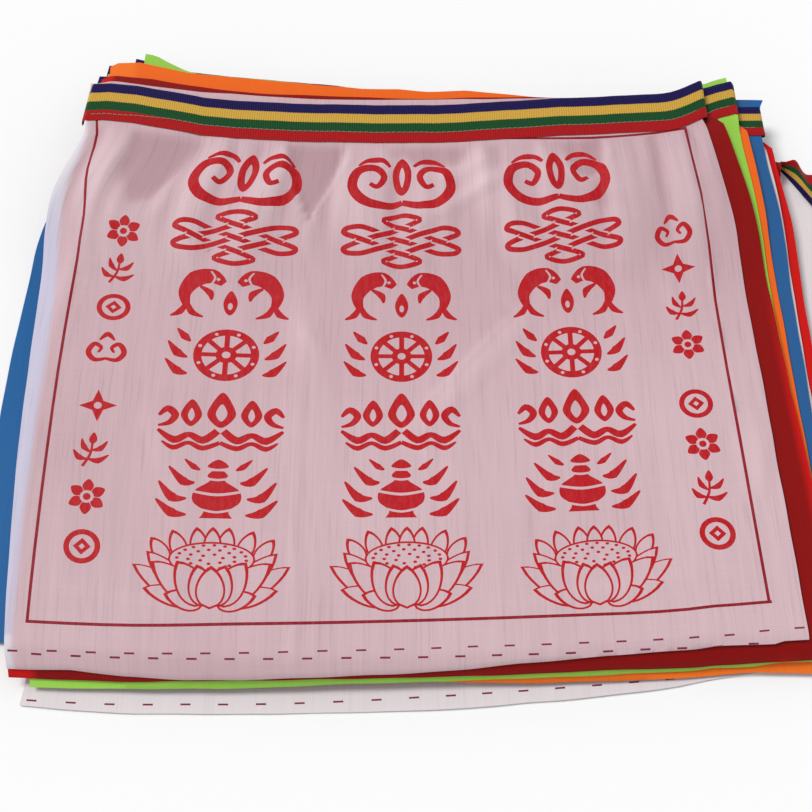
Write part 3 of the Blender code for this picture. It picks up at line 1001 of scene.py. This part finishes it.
UPPER_MARKS = [
    (-157.2, -139.5), (-141.4, -138.4), (-110, -137.7), (-64, -136.1), (-33.4, -135.1), (27.7, -134.5),
    (72.4, -135.4), (115, -136.8), (130, -136.9), (145, -135), (160, -133.7),
]
LOWER_MARKS = [
    (-147.6, -140), (-116, -139.4), (-85.6, -138.8), (-55, -138.2), (-24, -137.8), (36.5, -138.2),
    (66.5, -138.9), (96, -139.5), (124.6, -141), (139.6, -139.9),
]
LOWEST_MARKS = [
    (-151.2, -155.4), (-120.2, -154.7), (-89, -153.2), (-57.8, -152.3), (-26.6, -151.1), (4.4, -150),
    (35.3, -149.3), (65.5, -148.9), (123.6, -148.9),
]


def mark_row(places, end):
    """Short marks of the cutting line, along a row that isn't quite straight."""
    along, heights = zip(*places)
    start = along[0]
    count = int((end - start) / MARK_PITCH) + 1
    marks = []
    for i in range(count + 1):
        x = start + i * MARK_PITCH - MARK_CLOSES * i * i + MARK_UNEVEN * math.sin(7.1 * i)
        ends = [(px, float(np.interp(px, along, heights))) for px in (x - MARK_LONG / 2, x + MARK_LONG / 2)]
        marks.append((brush(ends, [MARK_WIDE, MARK_WIDE]), 3))
    return marks


for row in ROWS:
    for column, x in enumerate(COLUMNS):
        print_motif(row.motif(), x, row.y + COLUMN_RISE * (column - 1), row.wide, row.high)
for side, places in enumerate((LEFT_PLACES, RIGHT_PLACES)):
    for i, (x, y) in enumerate(places):
        motif = SIDE_MOTIFS[(i + 3 * side) % len(SIDE_MOTIFS)]
        print_motif(motif(), x, y, SMALL_SIZE, SMALL_SIZE, SMALL_TILT * math.sin(5 * i + side))
for x, y in LOTUS_PLACES:
    print_motif(lotus(), x, y)
for line in FRAME_LINES:
    printed += strand(line, FRAME_WIDE, ink=2, per=4)
printed += mark_row(UPPER_MARKS, 161)
printed += mark_row(LOWER_MARKS, 146)


def ink_finish(name, colour):
    """Ink in the satin: the same weave and sheen, with the slubs a little paler where it took badly."""

    def tint(tree):
        worn = uneven_spots(tree, laid(tree, "grain"), 0.0016, 0.006, 4, 0.7)
        pale = tuple(between(part, 200, 0.22) for part in colour)
        return mixed(tree, scaled(tree, worn, 2.2, -0.95), seen(*colour), seen(*pale))

    return satin_finish(name, tint, 0.42, 0.12)


def cut_cloth_along_print(index, step, shapes):
    """A cloth's plan as triangles that follow every printed edge, and the ink of each one."""
    x, y = cloth_plan(index, step)
    rows, columns = x.shape
    points = list(zip(x.ravel(), y.ravel()))
    rim = rim_of(rows, columns)
    outlines = [rim]
    for outline, _ in shapes:
        area = sum(a[0] * b[1] - b[0] * a[1] for a, b in zip(outline, outline[1:] + outline[:1]))
        first = len(points)
        points += outline if area > 0 else outline[::-1]
        outlines.append(list(range(first, len(points))))
    made, _, faces, came_from, _, lies_in = delaunay_2d_cdt(
        [Vector(point) for point in points], [], outlines, 0, 1e-4, True
    )
    kept = [(face, max(holds)) for face, holds in zip(faces, lies_in) if 0 in holds]
    inks = [0] + [ink for _, ink in shapes]
    number_of = {old: new for new, olds in enumerate(came_from) for old in olds}
    plan = np.array([tuple(point) for point in made])
    triangles = [face for face, _ in kept]
    return plan[:, 0], plan[:, 1], triangles, [number_of[i] for i in rim], [inks[top] for _, top in kept]


ink_colours = {"print_ink": INK, "frame_line_ink": LINE_INK, "cut_mark_ink": MARK_INK}
inks = [ink_finish(name, colour) for name, colour in ink_colours.items()]
lowest_print = mark_row(LOWEST_MARKS, 118)
printed_cloths = (
    (0, TOP_STEP, "top", printed), (len(FLAGS) - 1, LOWER_STEP, "white", lowest_print),
)
for index, step, satin, shapes in printed_cloths:
    x, y, triangles, rim, inked = cut_cloth_along_print(index, step, shapes)
    declare_cloth(satin_sheet(index, x, y, triangles, rim, [SATIN[satin]] + inks, inked), index)


# The ribbon. One long woven band with a navy, a gold, a green and a red stripe, ribbed across,
# which runs along the top edge of every cloth and turns over at each end of the stack. Its start
# curls under at the left, and its bare end lies turned over at the right.
RIBBON_THICK = 0.6
CURL_INSET = 1.9
CURL_RADIUS = 3
CURL_TURN = math.radians(110)
RUN_STEP = 4
FOLD_STEPS = 14
TWIST_LONG = 20
TWIST_PINCH = 0.7
TWIST_STEPS = 48
TWIST_LEAN = -16
TAIL_LONG = 50
TAIL_DROP = -16
TAIL_STEPS = 14
ACROSS_STEPS = 16
RIBBON_WAVE = 0.3
WAVE_UP = 0.3
START_SLANT = np.array([0.07, 0, 0])
SLANT_LONG = 25
TUCKS = {2: 0.1, 4: 0.22}
TUCK_START = 22
TUCK_GROWS = 12
TOP_SWAY_X = (-170, -145, -122, -108, -78, -27, 14, 55, 82, 111, 140, 160)
TOP_SWAY_Y = (0, 0.8, -0.4, -2, -1.5, -0.8, -0.2, 1, 0.8, -0.4, -2, 0)

# The stripes from the front edge to the back one: where each starts, as a share of the width
Stripe = namedtuple("Stripe", "start, colour")
STRIPES = [
    Stripe(0.0, (168, 15, 20)),
    Stripe(0.27, (16, 72, 34)),
    Stripe(0.51, (206, 162, 66)),
    Stripe(0.75, (21, 10, 74)),
]

# A place on the ribbon's way, with what points out of its face and across it there
Station = namedtuple("Station", "x, y, z, normal, across")


def ribbon_height(index):
    cloths_under = len(FLAGS) - 1 - index + (1 if index % 2 == 0 else 0)
    runs_under = len(FLAGS) - 1 - index
    return PITCH * (cloths_under + runs_under) + LAYER / 2 + (TOP_SLACK if index == 0 else 0)


def band_middle(flag, x):
    return top_line(flag, x) - flag.inset - RIBBON_WIDE / 2


def sway(index, x):
    """How far a run strays from its straight line at x."""
    own = float(np.interp(x, TOP_SWAY_X, TOP_SWAY_Y)) if index == 0 else 0
    return own + RIBBON_WAVE * float(wander(x * 2, index + 60))


def rise_along(index, x):
    return WAVE_UP * RIBBON_WAVE * float(wander(x * 2, index + 60))


def narrowed(index, x):
    """How much of its width the ribbon shows at x, where it is tucked at a right fold."""
    pair = index - index % 2
    grown = float(smooth((x - FLAGS[pair].fold_x + TUCK_START) / TUCK_GROWS))
    return 1 - TUCKS.get(pair, 0) * grown


def run_middle(index, x):
    tucked = RIBBON_WIDE / 2 * (1 - narrowed(index, x))
    return float(band_middle(FLAGS[index], x)) + tucked + sway(index, x)


def ribbon_route():
    """The ribbon's middle line from its curled start to its free end, and where each run starts."""
    across = np.array([0, 1, 0])
    first = FLAGS[0]
    start_x = first.top_left_x + CURL_INSET
    start_z = ribbon_height(0)
    route = []
    for step in range(FOLD_STEPS, 0, -1):
        turn = CURL_TURN * step / FOLD_STEPS
        x = start_x - CURL_RADIUS * math.sin(turn)
        z = start_z - CURL_RADIUS * (1 - math.cos(turn))
        normal = np.array([-math.sin(turn), 0, math.cos(turn)])
        route.append(Station(x, band_middle(first, start_x), z, normal, across + START_SLANT))
    here = start_x
    for index, flag in enumerate(FLAGS):
        last = index == len(FLAGS) - 1
        end = flag.fold_x
        z = ribbon_height(index)
        up = np.array([0, 0, 1 if index % 2 == 0 else -1])
        steps = round(abs(end - here) / RUN_STEP)
        for x in np.linspace(here, end, steps + 1):
            wave = rise_along(index, x)
            slant = START_SLANT * float(smooth(1 - (x - start_x) / SLANT_LONG)) if index == 0 else 0
            cross = narrowed(index, x) * across + slant
            route.append(Station(x, run_middle(index, x), z + wave, up, cross))
        if last:
            break
        below = ribbon_height(index + 1)
        radius = (z - below) / 2
        side = 1 if index % 2 == 0 else -1
        for step in range(1, FOLD_STEPS):
            turn = math.pi * step / FOLD_STEPS
            y = between(run_middle(index, end), run_middle(index + 1, end), step / FOLD_STEPS)
            x = end + side * radius * math.sin(turn)
            outward = np.array([side * math.sin(turn), 0, math.cos(turn)])
            cross = narrowed(index, end) * across
            route.append(Station(x, y, (z + below) / 2 + radius * math.cos(turn), outward * side, cross))
        here = end
    return route + free_end(route[-1])


def free_end(start):
    """Past the last cloth the ribbon is pinched, turns over once and lies down on the surface."""
    route = []
    for step in range(1, TWIST_STEPS + 1):
        t = step / TWIST_STEPS
        turn = math.pi * float(smooth(math.sqrt(t)))
        wide = 1 - TWIST_PINCH * math.sin(turn)
        z = between(start.z, LAYER / 2, float(smooth(2 * t - 1))) + RIBBON_WIDE / 2 * wide * math.sin(turn)
        normal = np.array([0, math.sin(turn), math.cos(turn)])
        across = wide * np.array([0, math.cos(turn), -math.sin(turn)])
        y = start.y + TWIST_LEAN * float(smooth(t))
        route.append(Station(start.x + TWIST_LONG * t, y, z, normal, across))
    settled = route[-1]
    for step in range(1, TAIL_STEPS + 1):
        t = step / TAIL_STEPS
        x = settled.x + TAIL_LONG * t
        y = settled.y + TAIL_DROP * t * t
        route.append(Station(x, y, settled.z, np.array([0, 0, -1]), np.array([0, -1, 0])))
    return route


def ribbon_section():
    """The ribbon cut across: places across and through it, in millimetres, with rounded selvedges."""
    half = RIBBON_WIDE / 2
    across = np.linspace(-half, half, ACROSS_STEPS + 1)
    through = RIBBON_THICK / 2 * np.sqrt(np.clip(1 - (np.abs(across) / half) ** 24, 0.02, 1))
    return list(zip(across, through)) + list(zip(across[::-1], -through[::-1]))


def tube_faces(first, sides, steps):
    """The faces of a closed tube, whose rings of points follow each other from the first point on."""
    faces = []
    for i in range(steps):
        for j in range(sides):
            here, beyond = first + i * sides, first + (i + 1) * sides
            after = (j + 1) % sides
            faces.append((here + j, here + after, beyond + after, beyond + j))
    start_cap = [first + j for j in range(sides)][::-1]
    end_cap = [first + steps * sides + j for j in range(sides)]
    return faces + [start_cap, end_cap]


def along_route(route):
    """The length of ribbon up to each station, in millimetres."""
    centres = np.array([(station.x, station.y, station.z) for station in route])
    steps = np.linalg.norm(np.diff(centres, axis=0), axis=1)
    return np.concatenate([[0], np.cumsum(steps)])


def ribbon_finish():
    finish, tree, shader = new_finish("woven_ribbon")
    weave = laid(tree, "weave")
    ribs = thread_rows(tree, weave, 0.00125, 1, 0.25, "X")
    threads = thread_rows(tree, weave, 1, 0.00052, 0.6, "Y")
    fuzz = uneven_spots(tree, weave, 0.0011, 0.0007, 3, 0.7)
    parts = add(tree, "ShaderNodeSeparateXYZ", {"Vector": weave}).outputs
    tooth = scaled(tree, ribs, 0.0004, parts["Y"])
    place = scaled(tree, tooth, 1 / (RIBBON_WIDE * MM), 0.5)
    stripes = add(tree, "ShaderNodeValToRGB", {"Fac": place})
    ramp = stripes.color_ramp
    ramp.interpolation = "CONSTANT"
    while len(ramp.elements) < len(STRIPES):
        ramp.elements.new(0.5)
    for element, stripe in zip(ramp.elements, STRIPES):
        element.position = stripe.start
        element.color = seen(*stripe.colour)
    value = scaled(tree, ribs, 0.22, scaled(tree, fuzz, 0.5, 0.64))
    relief = scaled(tree, threads, 0.35, scaled(tree, fuzz, 0.5, ribs))
    coat(tree, shader, stripes.outputs["Color"], value, relief, 0.8, 0.00018)
    shader.inputs["Roughness"].default_value = 0.62
    shader.inputs["Specular IOR Level"].default_value = 0.12
    shader.inputs["Sheen Weight"].default_value = 0.03
    return finish


route = ribbon_route()
lengths = along_route(route)
section = ribbon_section()
ring = len(section)
spots = []
for station in route:
    middle = np.array([station.x, station.y, station.z])
    spots += [middle + station.across * across + station.normal * through for across, through in section]
mesh = bpy.data.meshes.new("ribbon_woven")
mesh.from_pydata(placed(*np.array(spots).T).tolist(), [], tube_faces(0, ring, len(route) - 1))
mesh.materials.append(ribbon_finish())
mesh.shade_smooth()
mesh.set_sharp_from_angle(angle=math.radians(60))
weave = np.array([(length, across) for length in lengths for across, _ in section]) * MM
lay_flat(mesh, "weave", weave)
ribbon = set_down("ribbon_woven", mesh)
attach(ribbon, "root")
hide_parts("ribbon")


# The stitches. One row of pale thread holds the ribbon to each cloth, along the edge between its
# green and its red stripe. At its left end on the top cloth the row strays into the red.
STITCH_LONG = 2.5
STITCH_PITCH = 2.9
THREAD_HALF = 0.2
STITCH_LINE = -6.0
STITCH_STRAY = -2.6
STRAYS_FROM = -118
STRAYS_OVER = 40
STITCH_UNEVEN = 0.12
STITCH_MARGIN = 3
STITCH_SIDES = 6
STITCH_STEPS = 5


def stitch_tube(start, end, up):
    """One stitch: a short round thread that comes up out of the ribbon and dives back into it."""
    along = (end - start) / np.linalg.norm(end - start)
    side = np.cross(up, along)
    rings = []
    for i in range(STITCH_STEPS + 1):
        t = i / STITCH_STEPS
        arch = THREAD_HALF * 1.5 * math.sin(math.pi * t) - THREAD_HALF * 0.5
        middle = between(start, end, t) + up * arch
        for j in range(STITCH_SIDES):
            turn = 2 * math.pi * j / STITCH_SIDES
            rings.append(middle + THREAD_HALF * (side * math.cos(turn) + up * math.sin(turn)))
    return rings


def thread_finish(name, colour):
    """Spun thread: a soft, slightly uneven colour with fine plies."""
    finish, tree, shader = new_finish(name)
    place = add(tree, "ShaderNodeTexCoord").outputs["Object"]
    plies = add(
        tree, "ShaderNodeTexNoise", {"Vector": place, "Scale": 2600, "Detail": 2, "Roughness": 0.6}
    ).outputs["Fac"]
    value = scaled(tree, plies, 0.5, 0.72)
    coat(tree, shader, seen(*colour), value, plies, 0.5, 0.0001)
    shader.inputs["Roughness"].default_value = 0.55
    return finish


points, faces = [], []
for index, flag in enumerate(FLAGS):
    up = np.array([0, 0, 1.0 if index % 2 == 0 else -1.0])
    level = ribbon_height(index) + up[2] * RIBBON_THICK / 2
    last = min(flag.top_right_x, FLAGS[index - index % 2].fold_x) - STITCH_MARGIN
    for x in np.arange(flag.top_left_x + STITCH_MARGIN, last, STITCH_PITCH):
        ends = []
        for place in (x, x + STITCH_LONG):
            strayed = STITCH_STRAY * float(smooth((STRAYS_FROM - place) / STRAYS_OVER)) * (index == 0)
            uneven = STITCH_UNEVEN * float(wander(place * 5, index))
            wave = rise_along(index, place)
            y = run_middle(index, place) + STITCH_LINE * narrowed(index, place) + strayed + uneven
            ends.append(np.array([place, y, level + wave]))
        faces += tube_faces(len(points), STITCH_SIDES, STITCH_STEPS)
        points += stitch_tube(ends[0], ends[1], up)
mesh = bpy.data.meshes.new("ribbon_stitches")
mesh.from_pydata(placed(*np.array(points).T).tolist(), [], faces)
mesh.materials.append(thread_finish("stitch_thread", (136, 144, 122)))
mesh.shade_smooth()
stitches = set_down("ribbon_stitches", mesh)
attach(stitches, "root")


# The surroundings: a white table top without an edge, a white room and one soft distant lamp over
# the left, and the camera 60 degrees above the table, straight in front of the stack.
TABLE_HALF = 6.0
TABLE_LOW = -0.0004
CAMERA_AWAY = 0.560
CAMERA_RISE = math.radians(60)
LOOK_AT_Y = -0.022
FOCAL_PIXELS = 1215
FRAME_PIXELS = 812
SENSOR = 36.0
ROOM_LIGHT = 0.52
LAMP_FROM = (-0.52, 0.22, 0.82)
LAMP_LIGHT = 1.9
LAMP_SPREAD = math.radians(22)

table = bpy.data.meshes.new("table_top")
corners = [(x * TABLE_HALF, y * TABLE_HALF, TABLE_LOW) for x, y in ((-1, -1), (1, -1), (1, 1), (-1, 1))]
table.from_pydata(corners, [], [(0, 1, 2, 3)])
finish, tree, shader = new_finish("table_white")
shader.inputs["Base Color"].default_value = (0.965, 0.965, 0.97, 1)
shader.inputs["Roughness"].default_value = 0.9
shader.inputs["Specular IOR Level"].default_value = 0.0
table.materials.append(finish)
set_down("table_top", table)

world = bpy.data.worlds.new("white_room")
world.use_nodes = True
background = world.node_tree.nodes["Background"]
background.inputs["Color"].default_value = (1, 1, 1, 1)
background.inputs["Strength"].default_value = ROOM_LIGHT

lamp = bpy.data.lights.new("soft_lamp", "SUN")
lamp.energy = LAMP_LIGHT
lamp.angle = LAMP_SPREAD
soft_lamp = set_down("soft_lamp", lamp)
soft_lamp.rotation_euler = Vector(LAMP_FROM).to_track_quat("Z", "Y").to_euler()

lens = bpy.data.cameras.new("camera")
lens.sensor_width = SENSOR
lens.lens = SENSOR * FOCAL_PIXELS / FRAME_PIXELS
camera = set_down("camera", lens)
camera.location = (
    0, LOOK_AT_Y - CAMERA_AWAY * math.cos(CAMERA_RISE), CAMERA_AWAY * math.sin(CAMERA_RISE)
)
camera.rotation_euler = (math.pi / 2 - CAMERA_RISE, 0, 0)

scene = bpy.context.scene
scene.world = world
scene.view_settings.view_transform = "Standard"
scene.camera = camera
